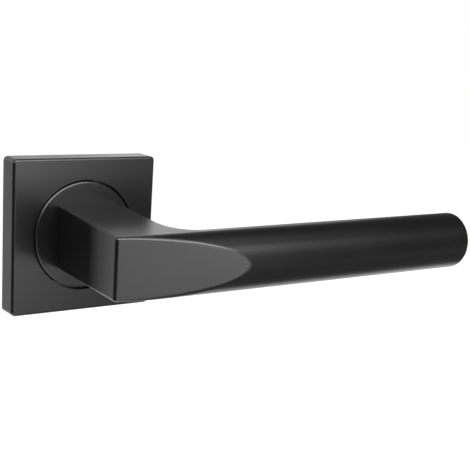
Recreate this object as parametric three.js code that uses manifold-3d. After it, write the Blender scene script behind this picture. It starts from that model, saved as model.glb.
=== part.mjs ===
// Lever door handle on a square sprung rose, right-pointing, one side of the door.
//
// Millimetres, +Z up. The door's face is the plane y = 0 and the handle stands out
// towards -Y. The spindle's axis is the Y axis, and the grip runs along +X.

import * as THREE from 'three';
import { mergeVertices } from 'three/addons/utils/BufferGeometryUtils.js';
import Module from 'manifold-3d';

const wasm = await Module();
wasm.setup();

// ---------------------------------------------------------------- sizes

// Fits between pieces
const seatFit = 0.15;         // round or cut seat of a piece that doesn't move in it
const runningFit = 0.25;      // gap of a piece that turns in another
const endFloat = 0.2;         // play of the lever along the spindle's axis

// Lever: neck
const neckRootLeft = 10.2;    // spindle axis to the neck's left side, at the rose
const neckRootRight = 12;     // spindle axis to the neck's right side, at the rose
const neckRootHalfHeight = 10.65;
const innerWallX = 7.9;       // the neck's right side where it meets the grip's back
const innerRadius = 10;       // sweep from the neck's right side into the grip's back
const sweepRise = 0.3;        // the swept back is taller than the grip, up to the flats

// Lever: elbow, whittled from the round bar by three flats
const elbowLeft = 14.6;       // spindle axis to the elbow's upright front edge
const elbowProud = 0.85;      // that edge stands this far in front of the grip's axis
const elbowHalfHeight = 9.85;
const facetAngle = THREE.MathUtils.degToRad(12.1);     // front facet to the door
const flatRise = THREE.MathUtils.degToRad(0.28);       // top flat, rising to the grip

// Lever: grip, a round bar
const gripRadius = 10;
const gripAxisOut = 54;       // door's face to the grip's axis
const gripEnd = 127;          // spindle axis to the grip's end
const gripEndRadius = 0.9;

// Lever: spigot behind the neck
const spigotRadius = 9;
const spigotTail = 3;         // how far the spigot reaches behind the door's face
const driveHalf = 7.6;        // half across the four flats that drive the follower
const keyHalf = 9.2;          // half across the square key that turns the neck disc
const keyCornerRadius = 12;
const socketDepth = 26;       // spindle socket, measured from the rose's front

// Rose
const roseSide = 52;
const roseDepth = 8;
const roseCornerRadius = 1.5;
const roseEdgeRadius = 0.6;
const coverWall = 1.2;
const coverInsideCorner = 0.3;
const notchWidth = 7;
const notchDepth = 0.9;

// Neck disc, flush in the rose cover
const discRadius = 18.3;
const discThick = 2;
const discChamfer = 0.4;
const discSeam = 0.35;        // open seam between the disc and the cover's hole

// Bearing bush
const bushFlangeRadius = 14;
const bushFlangeThick = 0.8;
const bushWall = 1.5;

// Mounting plate and its spring cassette
const coverGap = 0.3;         // between the plate's edge and the cover's wall
const webThick = 1;           // floor between the disc's recess and the cassette
const plateCornerRadius = 1.5;
const lidThick = 1;
const channelOuter = 15.4;
const hubRadius = 11.4;
const armHalfAngle = THREE.MathUtils.degToRad(9);
const springSpan = THREE.MathUtils.degToRad(119);      // from an arm to its far seat
const stopGap = 0.3;
const lidWidth = 31;
const lidHeight = 41;
const lidCornerRadius = 4;

// Return springs
const coilRadius = 1;
const wireRadius = 0.35;
const coilCount = 12;
const closedPitch = 0.84;     // wire to wire in the closed turn at each end

// Fixings
const postSpacing = 38;
const postRadius = 3.25;
const postReach = 6;
const postThreadRadius = 1.65;
const postThreadDepth = 9;
const woodScrewSpacing = 38;
const woodHeadRadius = 3.6;
const woodShankRadius = 1.75;
const woodScrewLength = 16;
const woodTipLength = 3.5;
const woodHeadSunk = 0.4;
const lidScrewX = 11.5;
const lidScrewZ = 17;
const lidHeadRadius = 2.3;
const lidShankRadius = 1.15;
const lidScrewLength = 5;
const lidHeadSunk = 0.1;
const seatMouth = 4;          // clear way above a screw's head

// Cover clips
const clipLength = 9;
const clipThick = 0.4;
const clipBow = 0.9;
const clipSpan = 4;
const clipSlotDepth = 1.3;
const coverPress = 0.1;       // gap that the clip's bow leaves to the cover's wall

// Coring pockets in the back of the plate
const coreWidth = 5.4;
const coreHeight = 7.6;
const coreDepth = 3.5;
const coreZ = 9.6;

// Circlip and thrust washer behind the lid
const washerRadius = 12.4;
const washerThick = 0.8;
const clipRingWall = 2.6;
const clipRingThick = 0.9;
const grooveDepth = 0.8;
const earReach = 2.1;
const earAngle = THREE.MathUtils.degToRad(20);
const ringGapHalf = THREE.MathUtils.degToRad(11);
const earHoleRadius = 0.7;

// Spindle and grub screw
const spindleHalf = 4;
const spindleChamfer = 0.6;
const spindleReach = 47;      // door's face to the spindle's free end
const grubRadius = 2.4;
const grubLength = 5;
const grubOut = 18;           // door's face to the grub screw's axis
const grubHexHalf = 1.25;
const grubHexDepth = 2.2;

// Facets round a full circle, and steps along a curve
const fineFacets = 64;
const smallFacets = 20;
const hexFacets = 6;
const cornerSteps = 4;
const arcSteps = 10;
const sweepSteps = 12;
const endSteps = 4;
const flatSteps = 12;
const stepsPerCoil = 9;
const wireSteps = 3;

// How far a cutting tool reaches past the face it cuts
const overshoot = 1;

// ---------------------------------------------------------------- levels along Y

const roseFront = -roseDepth;
const discBack = roseFront + discThick;
const bushFront = discBack + endFloat;
const webFront = bushFront + bushFlangeThick;
const webBack = webFront + webThick;
const lidFront = -lidThick;
const coverInside = roseFront + coverWall;
const followerFront = webBack + endFloat;
const followerBack = lidFront - endFloat;
const grooveFront = washerThick + endFloat / 2;
const grooveBack = grooveFront + clipRingThick + endFloat / 2;
const gripAxisY = -gripAxisOut;
const elbowFrontY = gripAxisY - elbowProud;
const plateHalf = roseSide / 2 - coverWall - coverGap;
const wallLean = Math.atan2(
  neckRootRight - innerWallX, gripAxisOut - gripRadius - roseDepth,
);
const sweepTurn = Math.PI / 2 + wallLean;
const holeRadius = discRadius + discSeam;
const boreRadius = spigotRadius + runningFit;
const bushRadius = boreRadius + bushWall;

// ---------------------------------------------------------------- solid helpers

function solidOf(geometry) {
  const plain = geometry.clone();
  plain.deleteAttribute('normal');
  plain.deleteAttribute('uv');
  const merged = mergeVertices(plain, 1e-5);
  return new wasm.Manifold(new wasm.Mesh({
    numProp: 3,
    vertProperties: new Float32Array(merged.attributes.position.array),
    triVerts: new Uint32Array(merged.index.array),
  }));
}

function geometryOf(solid) {
  const mesh = solid.getMesh();
  const geometry = new THREE.BufferGeometry();
  geometry.setAttribute('position', new THREE.BufferAttribute(mesh.vertProperties, 3));
  geometry.setIndex(new THREE.BufferAttribute(mesh.triVerts, 1));
  geometry.computeVertexNormals();
  return geometry;
}

function joined(first, ...others) {
  return others.reduce((whole, next) => whole.add(next), first);
}

function cut(first, ...others) {
  return others.reduce((whole, next) => whole.subtract(next), first);
}

// A flat outline in X and Z, pulled along Y from `front` to `back`.
function slab(shape, front, back, curveSegments = arcSteps) {
  const geometry = new THREE.ExtrudeGeometry(shape, {
    depth: back - front,
    bevelEnabled: false,
    curveSegments,
  });
  geometry.rotateX(Math.PI / 2);
  geometry.translate(0, back, 0);
  return solidOf(geometry);
}

// A round bar on the Y axis, moved to x and z.
function rod(radius, front, back, facets = fineFacets, x = 0, z = 0) {
  const geometry = new THREE.CylinderGeometry(radius, radius, back - front, facets);
  geometry.translate(x, (front + back) / 2, z);
  return solidOf(geometry);
}

function ring(outer, inner, front, back, facets = fineFacets) {
  const hole = rod(inner, front - overshoot, back + overshoot, facets);
  return cut(rod(outer, front, back, facets), hole);
}

// A turned piece on the Y axis: points are [radius, y] from the axis back to the axis.
function turned(points, facets, x = 0, z = 0) {
  const profile = points.map(([radius, y]) => new THREE.Vector2(radius, y));
  const geometry = new THREE.LatheGeometry(profile, facets);
  geometry.translate(x, 0, z);
  return solidOf(geometry);
}

function block(low, high) {
  const size = high.map((value, axis) => value - low[axis]);
  const geometry = new THREE.BoxGeometry(...size);
  geometry.translate(...low.map((value, axis) => value + size[axis] / 2));
  return solidOf(geometry);
}

function roundedRectangle(width, height, radius) {
  const x = width / 2 - radius;
  const z = height / 2 - radius;
  const shape = new THREE.Shape();
  shape.absarc(x, z, radius, 0, Math.PI / 2);
  shape.absarc(-x, z, radius, Math.PI / 2, Math.PI);
  shape.absarc(-x, -z, radius, Math.PI, Math.PI * 1.5);
  shape.absarc(x, -z, radius, Math.PI * 1.5, Math.PI * 2);
  shape.closePath();
  return shape;
}

// Part of a ring between two angles, counted from +X towards +Z.
function sectorShape(inner, outer, from, to) {
  const shape = new THREE.Shape();
  shape.absarc(0, 0, outer, from, to, false);
  shape.absarc(0, 0, inner, to, from, true);
  shape.closePath();
  return shape;
}

function corners(x, z) {
  return [[x, z], [-x, z], [-x, -z], [x, -z]];
}

const handle = new THREE.Group();

function place(name, solid, color, roughness, metalness) {
  const material = new THREE.MeshStandardMaterial({ color, roughness, metalness });
  const geometry = solid.isBufferGeometry ? solid : geometryOf(solid);
  const mesh = new THREE.Mesh(geometry, material);
  mesh.name = name;
  handle.add(mesh);
  return mesh;
}

const powderBlack = [0x232426, 0.45, 0];
const steel = [0xb4b6b8, 0.35, 1];
const springSteel = [0x6c6e72, 0.35, 1];
const zinc = [0xa3a5a6, 0.5, 1];
const nylon = [0xdedcd4, 0.6, 0];
const blackOxide = [0x2a2b2d, 0.4, 1];

// ---------------------------------------------------------------- lever

// The neck's right side, a straight line that leans towards the grip's back.
function innerWallAt(y) {
  const gripBackY = gripAxisY + gripRadius;
  const t = (y - roseFront) / (gripBackY - roseFront);
  return THREE.MathUtils.lerp(neckRootRight, innerWallX, t);
}

// Where the sweep's arc is centred along X, for a depth on the grip's round back.
function sweepCentre(roundBack) {
  const y = gripAxisY + roundBack + innerRadius;
  return innerWallAt(y) + innerRadius / Math.cos(wallLean);
}

// A section of the grip. Its front half is a half circle at x; `backAt` gives x and y for a
// depth on the round back, and `backTall` is half the back's height.
function gripSection(x, radius, backTall, backAt) {
  const section = [];
  for (let i = 0; i <= fineFacets / 2; i += 1) {
    const angle = Math.PI / 2 - (i * 2 * Math.PI) / fineFacets;
    section.push([...backAt(radius * Math.cos(angle)), backTall * Math.sin(angle)]);
  }
  for (let i = 0; i <= fineFacets / 2; i += 1) {
    const angle = -Math.PI / 2 - (i * 2 * Math.PI) / fineFacets;
    section.push([x, gripAxisY + radius * Math.cos(angle), radius * Math.sin(angle)]);
  }
  return section;
}

function roundSection(x, radius) {
  return gripSection(x, radius, radius, (roundBack) => [x, gripAxisY + roundBack]);
}

// The section where the back's sweep has turned this far towards the neck's wall.
function sweptSection(turn) {
  const inward = innerRadius * Math.sin(turn);
  const doorward = innerRadius * (1 - Math.cos(turn));
  const tall = gripRadius + sweepRise * (1 - Math.cos(turn));
  const frontX = sweepCentre(0) - (innerRadius * turn) / sweepTurn;
  return gripSection(frontX, gripRadius, tall, (roundBack) => [
    sweepCentre(roundBack) - inward, gripAxisY + roundBack + doorward,
  ]);
}

// A skin over equal sections, closed by a flat cap at each end.
function loft(sections) {
  const count = sections[0].length;
  const positions = sections.flat(2);
  const index = [];
  for (let s = 0; s < sections.length - 1; s += 1) {
    for (let i = 0; i < count; i += 1) {
      const a = s * count + i;
      const b = s * count + ((i + 1) % count);
      index.push(a, b + count, b, a, a + count, b + count);
    }
  }
  const last = (sections.length - 1) * count;
  for (let i = 1; i < count - 1; i += 1) {
    index.push(0, i, i + 1);
    index.push(last, last + i + 1, last + i);
  }
  const geometry = new THREE.BufferGeometry();
  geometry.setAttribute('position', new THREE.Float32BufferAttribute(positions, 3));
  geometry.setIndex(index);
  return solidOf(geometry);
}

function gripBar() {
  const leftX = -elbowLeft - gripRadius;
  const sections = [sweptSection(sweepTurn).map(([, y, z]) => [leftX, y, z])];
  for (let i = sweepSteps; i >= 0; i -= 1) {
    sections.push(sweptSection((i / sweepSteps) * sweepTurn));
  }
  for (let i = 0; i <= endSteps; i += 1) {
    const turn = (i / endSteps) * (Math.PI / 2);
    const x = gripEnd - gripEndRadius * (1 - Math.sin(turn));
    sections.push(roundSection(x, gripRadius - gripEndRadius * (1 - Math.cos(turn))));
  }
  return loft(sections);
}

function neckBlock() {
  const far = elbowLeft + gripRadius;
  const tall = neckRootHalfHeight + overshoot;
  const plan = new THREE.Shape();
  plan.moveTo(-far, roseFront);
  plan.lineTo(-far, gripAxisY);
  plan.lineTo(innerWallAt(gripAxisY), gripAxisY);
  plan.lineTo(neckRootRight, roseFront);
  plan.closePath();
  const geometry = new THREE.ExtrudeGeometry(plan, { depth: 2 * tall, bevelEnabled: false });
  geometry.translate(0, 0, -tall);
  return solidOf(geometry);
}

// Half the height between the top and bottom flats, ruled from the root to the elbow.
function flatHeightAt(x, y) {
  const atElbow = elbowHalfHeight + Math.tan(flatRise) * (x + elbowLeft);
  const t = (y - roseFront) / (elbowFrontY - roseFront);
  return THREE.MathUtils.lerp(neckRootHalfHeight, atElbow, t);
}

// The four-sided wedge that the lever is whittled to: left side, front facet, flats.
function wedge() {
  const right = gripEnd + gripRadius;
  const geometry = new THREE.BoxGeometry(1, 1, 1, flatSteps, flatSteps / 2, 1);
  const position = geometry.attributes.position;
  for (let i = 0; i < position.count; i += 1) {
    const u = position.getX(i) + 0.5;
    const v = 0.5 - position.getY(i);
    const side = Math.sign(position.getZ(i));
    const rootX = THREE.MathUtils.lerp(-neckRootLeft, right, u);
    const frontX = THREE.MathUtils.lerp(-elbowLeft, right, u);
    const frontY = elbowFrontY - Math.tan(facetAngle) * (frontX + elbowLeft);
    const x = THREE.MathUtils.lerp(rootX, frontX, v);
    const y = THREE.MathUtils.lerp(roseFront, frontY, v);
    position.setXYZ(i, x, y, side * flatHeightAt(x, y));
  }
  return solidOf(geometry);
}

function squareShape(half) {
  return new THREE.Shape([
    new THREE.Vector2(-half, -half),
    new THREE.Vector2(half, -half),
    new THREE.Vector2(half, half),
    new THREE.Vector2(-half, half),
  ]);
}

// The square key under the neck, its corners turned off round.
function keyBar(grow, front, back) {
  const round = rod(keyCornerRadius + grow, front, back);
  return round.intersect(slab(squareShape(keyHalf + grow), front, back));
}

// The spigot's tail, round with four driving flats.
function driveBar(grow, front, back) {
  const round = rod(spigotRadius + grow, front, back);
  return round.intersect(slab(squareShape(driveHalf + grow), front, back));
}

// An upright bar on the grub screw's axis between two heights.
function uprightBar(radius, low, high, facets) {
  const geometry = new THREE.CylinderGeometry(radius, radius, high - low, facets);
  geometry.rotateX(Math.PI / 2);
  geometry.translate(0, -grubOut, (low + high) / 2);
  return solidOf(geometry);
}

function lever() {
  const outside = joined(neckBlock(), gripBar()).intersect(wedge());
  const insideNeck = roseFront - overshoot;
  const whole = joined(
    outside,
    keyBar(0, insideNeck, discBack - seatFit),
    rod(spigotRadius, insideNeck, webBack),
    driveBar(0, insideNeck, spigotTail),
  );
  const socketShape = squareShape(spindleHalf + seatFit);
  const socket = slab(socketShape, roseFront - socketDepth, spigotTail + overshoot);
  const grubHole = uprightBar(grubRadius + seatFit, -neckRootHalfHeight - overshoot, 0, smallFacets);
  const grooveInner = spigotRadius - grooveDepth;
  const groove = ring(spigotRadius + overshoot, grooveInner, grooveFront, grooveBack);
  return cut(whole, socket, grubHole, groove);
}

place('lever', lever(), ...powderBlack);

// ---------------------------------------------------------------- rose

function neckDisc() {
  const blank = turned([
    [0, roseFront],
    [discRadius - discChamfer, roseFront],
    [discRadius, roseFront + discChamfer],
    [discRadius, discBack],
    [0, discBack],
  ], fineFacets);
  return cut(blank, keyBar(seatFit, roseFront - overshoot, discBack + overshoot));
}

place('neck_disc', neckDisc(), ...powderBlack);

function coverOutside() {
  const side = roseSide - 2 * roseEdgeRadius;
  const radius = roseCornerRadius - roseEdgeRadius;
  const geometry = new THREE.ExtrudeGeometry(roundedRectangle(side, side, radius), {
    depth: roseDepth,
    bevelSize: roseEdgeRadius,
    bevelThickness: roseEdgeRadius,
    bevelSegments: cornerSteps - 1,
    curveSegments: cornerSteps,
  });
  geometry.rotateX(-Math.PI / 2);
  geometry.translate(0, roseFront + roseEdgeRadius, 0);
  const half = roseSide;
  return solidOf(geometry).intersect(block([-half, roseFront, -half], [half, 0, half]));
}

function roseCover() {
  const insideSide = roseSide - 2 * coverWall;
  const insideShape = roundedRectangle(insideSide, insideSide, coverInsideCorner);
  const inside = slab(insideShape, coverInside, overshoot, cornerSteps / 2);
  const hole = rod(holeRadius, roseFront - overshoot, overshoot);
  const notch = block(
    [-notchWidth / 2, -notchDepth, -roseSide / 2 - overshoot],
    [notchWidth / 2, overshoot, -roseSide / 2 + coverWall + coverGap / 2],
  );
  return cut(coverOutside(), inside, hole, notch);
}

place('rose_cover', roseCover(), ...powderBlack);

// ---------------------------------------------------------------- mounting plate

// A countersunk screw on the Y axis; `out` is -1 for a head facing -Y, +1 for +Y.
function screw(head, shank, length, tip, headY, out, grow, x, z) {
  const along = (distance) => headY - out * distance;
  const cone = head - shank;
  const points = [
    [0, along(0)],
    [head + grow, along(0)],
    [shank + grow, along(cone)],
    [shank + grow, along(length - tip)],
  ];
  points.push(tip > 0 ? [0, along(length)] : [0, along(length - tip)]);
  return turned(out > 0 ? points.reverse() : points, smallFacets, x, z);
}

function woodScrew(x, z) {
  return screw(woodHeadRadius, woodShankRadius, woodScrewLength, woodTipLength,
    coverInside + woodHeadSunk, -1, 0, x, z);
}

function lidScrew(x, z) {
  return screw(lidHeadRadius, lidShankRadius, lidScrewLength, 0, -lidHeadSunk, 1, 0, x, z);
}

// The seat of a countersunk screw: its own form grown by the fit, open above the head.
function screwSeat(head, shank, length, headY, out, x, z) {
  const body = screw(head, shank, length + seatFit, 0, headY, out, seatFit, x, z);
  const mouthFrom = Math.min(headY, headY + out * seatMouth);
  const mouth = rod(head + seatFit, mouthFrom, mouthFrom + seatMouth, smallFacets, x, z);
  return joined(body, mouth);
}

function lidSeatShape(grow) {
  return roundedRectangle(lidWidth + 2 * grow, lidHeight + 2 * grow, lidCornerRadius + grow);
}

// The fixed seats between the two spring channels, one half turn apart.
function channelBridge(turn) {
  const stopAngle = -Math.PI / 2 + armHalfAngle + stopGap / channelOuter;
  const seatAngle = Math.PI / 2 - armHalfAngle - springSpan;
  const shape = sectorShape(
    hubRadius + runningFit, channelOuter + overshoot, stopAngle + turn, seatAngle + turn,
  );
  return slab(shape, webBack - webThick / 2, lidFront);
}

// Pocket for one cover clip in the plate's edge that faces `turn`.
function clipSlot(turn) {
  const centreY = coverInside / 2;
  const half = clipSpan / 2 + seatFit;
  const geometry = new THREE.BoxGeometry(
    clipSlotDepth * 2, 2 * half, clipLength + 2 * seatFit,
  );
  geometry.translate(plateHalf, centreY, 0);
  geometry.rotateY(turn);
  return solidOf(geometry);
}

function quarterTurns() {
  return [0, 1, 2, 3].map((i) => (i * Math.PI) / 2);
}

function mountingPlate() {
  const outline = roundedRectangle(2 * plateHalf, 2 * plateHalf, plateCornerRadius);
  const blank = slab(outline, coverInside, 0, cornerSteps);
  const postsX = [-postSpacing / 2, postSpacing / 2];
  const posts = postsX.map((x) => rod(postRadius, -webThick, postReach, smallFacets, x));
  const channel = rod(channelOuter, webBack, lidFront / 2);
  const bridges = [channelBridge(0), channelBridge(Math.PI)];
  const hollow = cut(channel, ...bridges);
  const sides = corners(woodScrewSpacing / 2, woodScrewSpacing / 2);
  const cores = corners((lidWidth / 2 + plateHalf) / 2, coreZ);
  const lidCorners = corners(lidScrewX, lidScrewZ);
  return cut(
    joined(blank, ...posts),
    rod(holeRadius + runningFit, coverInside - overshoot, webFront),
    rod(bushRadius + seatFit, webFront - overshoot, webBack + overshoot),
    hollow,
    slab(lidSeatShape(seatFit), lidFront, overshoot, cornerSteps),
    ...postsX.map((x) => rod(postThreadRadius, postReach - postThreadDepth,
      postReach + overshoot, smallFacets, x)),
    ...sides.map(([x, z]) => screwSeat(woodHeadRadius, woodShankRadius, woodScrewLength,
      coverInside + woodHeadSunk, -1, x, z)),
    ...lidCorners.map(([x, z]) => screwSeat(lidHeadRadius, lidShankRadius, lidScrewLength,
      -lidHeadSunk, 1, x, z)),
    ...cores.map(([x, z]) => block([x - coreWidth / 2, -coreDepth, z - coreHeight / 2],
      [x + coreWidth / 2, overshoot, z + coreHeight / 2])),
    ...quarterTurns().map((turn) => clipSlot(turn)),
  );
}

place('mounting_plate', mountingPlate(), ...zinc);

function bearingBush() {
  const flange = ring(bushFlangeRadius, boreRadius, bushFront, webFront);
  const sleeve = ring(bushRadius, boreRadius, bushFront, webBack);
  return joined(flange, sleeve);
}

place('bearing_bush', bearingBush(), ...nylon);

// ---------------------------------------------------------------- spring cassette

function springFollower() {
  const arms = [Math.PI / 2, Math.PI * 1.5].map((at) => slab(
    sectorShape(
      hubRadius - overshoot, channelOuter - runningFit, at - armHalfAngle, at + armHalfAngle,
    ),
    followerFront,
    followerBack,
  ));
  const hub = rod(hubRadius, followerFront, followerBack);
  const drive = driveBar(seatFit, followerFront - overshoot, followerBack + overshoot);
  return cut(joined(hub, ...arms), drive);
}

place('spring_follower', springFollower(), ...steel);

// One coil spring laid round the channel, from its arm to its far seat.
function returnSpring(armAngle) {
  const bend = (hubRadius + runningFit + channelOuter) / 2;
  const endGap = (wireRadius + runningFit) / bend;
  const from = armAngle - armHalfAngle - endGap;
  const sweep = springSpan - 2 * endGap;
  const middleY = (webBack + lidFront) / 2;
  const closedTurn = closedPitch / bend;
  const openTurn = (sweep - 2 * closedTurn) / (coilCount - 2);
  const points = [];
  for (let i = 0; i <= coilCount * stepsPerCoil; i += 1) {
    const turns = i / stepsPerCoil;
    const closed = Math.min(turns, 1) + Math.max(turns - coilCount + 1, 0);
    const angle = from - closed * closedTurn - (turns - closed) * openTurn;
    const phase = turns * 2 * Math.PI;
    const radius = bend + coilRadius * Math.cos(phase);
    points.push(new THREE.Vector3(
      radius * Math.cos(angle),
      middleY + coilRadius * Math.sin(phase),
      radius * Math.sin(angle),
    ));
  }
  const wire = new THREE.Shape();
  wire.absarc(0, 0, wireRadius, 0, Math.PI * 2);
  return new THREE.ExtrudeGeometry(wire, {
    steps: coilCount * stepsPerCoil,
    curveSegments: wireSteps,
    extrudePath: new THREE.CatmullRomCurve3(points),
  });
}

place('return_spring_upper', returnSpring(Math.PI / 2), ...springSteel);
place('return_spring_lower', returnSpring(Math.PI * 1.5), ...springSteel);

function cassetteLid() {
  const seats = corners(lidScrewX, lidScrewZ).map(([x, z]) => screwSeat(lidHeadRadius,
    lidShankRadius, lidScrewLength, -lidHeadSunk, 1, x, z));
  return cut(
    slab(lidSeatShape(0), lidFront, 0, cornerSteps),
    rod(boreRadius, lidFront - overshoot, overshoot),
    ...seats,
  );
}

place('cassette_lid', cassetteLid(), ...steel);

corners(lidScrewX, lidScrewZ).forEach(([x, z], i) => {
  place(`lid_screw_${i + 1}`, lidScrew(x, z), ...steel);
});

place('thrust_washer', ring(washerRadius, boreRadius, 0, washerThick), ...nylon);

function circlip() {
  const inner = spigotRadius - grooveDepth + seatFit;
  const outer = inner + clipRingWall;
  const ear = outer + earReach;
  const from = -Math.PI / 2 + ringGapHalf;
  const to = Math.PI * 1.5 - ringGapHalf;
  const shape = new THREE.Shape();
  shape.absarc(0, 0, ear, from, from + earAngle, false);
  shape.absarc(0, 0, outer, from + earAngle, to - earAngle, false);
  shape.absarc(0, 0, ear, to - earAngle, to, false);
  shape.absarc(0, 0, inner, to, from, true);
  shape.closePath();
  const holeAt = (inner + ear) / 2;
  [from + earAngle / 2, to - earAngle / 2].forEach((angle) => {
    const hole = new THREE.Path();
    hole.absarc(holeAt * Math.cos(angle), holeAt * Math.sin(angle), earHoleRadius,
      0, Math.PI * 2, true);
    shape.holes.push(hole);
  });
  const front = (grooveFront + grooveBack - clipRingThick) / 2;
  return slab(shape, front, front + clipRingThick);
}

place('circlip', circlip(), ...blackOxide);

// ---------------------------------------------------------------- spindle and screws

function spindle() {
  const flat = spindleHalf - spindleChamfer;
  const shape = new THREE.Shape([
    [flat, -flat], [flat, flat], [-flat, flat], [-flat, -flat],
  ].map(([x, z]) => new THREE.Vector2(x, z)));
  const front = roseFront - socketDepth + seatFit;
  const geometry = new THREE.ExtrudeGeometry(shape, {
    depth: spindleReach - front - 2 * spindleChamfer,
    bevelSize: spindleChamfer,
    bevelThickness: spindleChamfer,
    bevelSegments: 1,
  });
  geometry.rotateX(Math.PI / 2);
  geometry.translate(0, spindleReach - spindleChamfer, 0);
  return geometry;
}

place('spindle', spindle(), ...steel);

function grubScrew() {
  const tip = -spindleHalf - seatFit;
  const body = uprightBar(grubRadius, tip - grubLength, tip, smallFacets);
  const across = (2 * grubHexHalf) / Math.sqrt(3);
  const mouth = tip - grubLength;
  const socket = uprightBar(across, mouth - overshoot, mouth + grubHexDepth, hexFacets);
  return cut(body, socket);
}

place('grub_screw', grubScrew(), ...blackOxide);

corners(woodScrewSpacing / 2, woodScrewSpacing / 2).forEach(([x, z], i) => {
  place(`wood_screw_${i + 1}`, woodScrew(x, z), ...steel);
});

// ---------------------------------------------------------------- cover clips

// A bowed leaf in the plate's edge; its crown bears on the rose cover's wall.
function coverClip() {
  const half = clipSpan / 2;
  const crown = roseSide / 2 - coverWall - coverPress;
  const bowRadius = (half ** 2 + clipBow ** 2) / (2 * clipBow);
  const spread = Math.asin(half / bowRadius);
  const centre = crown - bowRadius;
  const profile = new THREE.Shape();
  profile.absarc(centre, 0, bowRadius, -spread, spread, false);
  profile.absarc(centre, 0, bowRadius - clipThick, spread, -spread, true);
  profile.closePath();
  const geometry = new THREE.ExtrudeGeometry(profile, {
    depth: clipLength,
    bevelEnabled: false,
    curveSegments: arcSteps,
  });
  geometry.translate(0, coverInside / 2, -clipLength / 2);
  return geometry;
}

quarterTurns().forEach((turn, i) => {
  const clip = place(`cover_clip_${i + 1}`, coverClip(), ...springSteel);
  clip.rotation.y = turn;
});

export default handle;
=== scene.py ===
"""Lever door handle on a square sprung rose, satin black powder coat on zinc alloy.

Metres, +Z up. The door's face is the plane y = 0, the handle stands out towards -Y, the
spindle's axis is the Y axis and the grip runs along +X.
"""

import math

import bmesh
import bpy
from bpy.props import FloatProperty, FloatVectorProperty, IntProperty, PointerProperty
from mathutils import Matrix, Vector


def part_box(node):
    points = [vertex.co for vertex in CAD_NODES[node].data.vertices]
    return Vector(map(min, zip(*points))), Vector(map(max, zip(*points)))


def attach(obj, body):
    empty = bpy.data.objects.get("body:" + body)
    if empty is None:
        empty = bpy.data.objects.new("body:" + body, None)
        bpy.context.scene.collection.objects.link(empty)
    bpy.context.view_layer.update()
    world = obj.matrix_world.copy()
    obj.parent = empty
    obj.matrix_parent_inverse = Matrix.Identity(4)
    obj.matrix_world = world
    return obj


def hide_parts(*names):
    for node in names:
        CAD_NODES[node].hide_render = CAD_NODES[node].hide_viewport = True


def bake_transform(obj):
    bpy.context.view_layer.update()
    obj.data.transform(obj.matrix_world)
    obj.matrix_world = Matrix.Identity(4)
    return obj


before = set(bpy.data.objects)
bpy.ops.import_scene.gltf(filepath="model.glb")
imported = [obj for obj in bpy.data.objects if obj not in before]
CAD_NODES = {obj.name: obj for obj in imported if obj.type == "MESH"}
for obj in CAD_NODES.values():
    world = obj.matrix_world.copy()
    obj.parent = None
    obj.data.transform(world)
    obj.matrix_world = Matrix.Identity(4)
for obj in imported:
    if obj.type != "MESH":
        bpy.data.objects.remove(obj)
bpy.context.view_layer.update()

bl_info = {
    "name": "Square-rose lever handle",
    "version": (1, 0, 0),
    "blender": (4, 5, 0),
    "location": "View3D > Sidebar > Handle",
    "description": "Builds a satin black lever handle, its sprung rose and a pale studio",
    "category": "Add Mesh",
}

MM = 0.001


# ------------------------ places read from the frame

def low(node):
    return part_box(node)[0]


def high(node):
    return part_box(node)[1]


def middle(node):
    return (low(node) + high(node)) / 2


def radius_of(node):
    """Radius of a piece that is round about the Y axis or a line along it."""
    return (high(node).x - low(node).x) / 2


ROSE_FRONT = low("rose_cover").y
ROSE_HALF = high("rose_cover").x
DISC_RADIUS = radius_of("neck_disc")
DISC_BACK = high("neck_disc").y


# ------------------------ sizes that fit the frame

# Lever's spigot and what runs or sits on it
SPIGOT_BORE = 9.25 * MM         # radius of the bush's, the lid's and the washer's bore
KEY_HALF = 9.35 * MM            # half across the neck disc's square hole
KEY_CORNER = 1.6 * MM           # radius of that hole's corners
BUSH_WALL = 1.5 * MM
BUSH_FLANGE = 0.8 * MM

# Mounting plate's posts, tapped M4
POST_OFFSET = 19 * MM           # a post's axis to the spindle's axis
TAP_RADIUS = 2 * MM
TAP_BOTTOM = -2.9 * MM          # y of the tapped hole's floor

# Cassette lid and the seats of its screws
LID_CORNER = 4 * MM
SEAT_GAP = 0.15 * MM            # between a screw's head and its seat
SEAT_REACH = 0.9 * MM           # the seat's cutter starts this far behind the lid

# Return springs: angles go from +X towards +Z, about the spindle's axis
SPRING_BEND = 13.525 * MM       # radius of the curved channel's middle
SPRING_ARM = math.radians(81)   # the follower's arm at rest
SPRING_SEAT = math.radians(-38)  # the plate's seat
SPRING_END_GAP = 0.25 * MM      # between a spring's last coil and what it bears on
COIL_RADIUS = 1 * MM
CLOSED_COIL = 2.4               # pitch of the closed coil at each end, in wire radii

# Cover clips
CLIP_BOW = 0.9 * MM
CLIP_THICK = 0.4 * MM

# Tolerances of the mesh tools
ONE_POINT = 0.001 * MM          # vertices closer than this are one
ON_PLANE = 0.0001 * MM          # vertices this near a trimming plane lie on it
ONE_FACE = math.radians(0.3)    # faces flatter to each other than this are one


# ------------------------ settings

def linear(hex_code):
    """An sRGB hex colour as linear numbers with full alpha."""
    parts = [int(hex_code[i:i + 2], 16) / 255 for i in (1, 3, 5)]
    turned_parts = [
        part / 12.92 if part <= 0.04045 else ((part + 0.055) / 1.055) ** 2.4
        for part in parts
    ]
    return (*turned_parts, 1)


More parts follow.
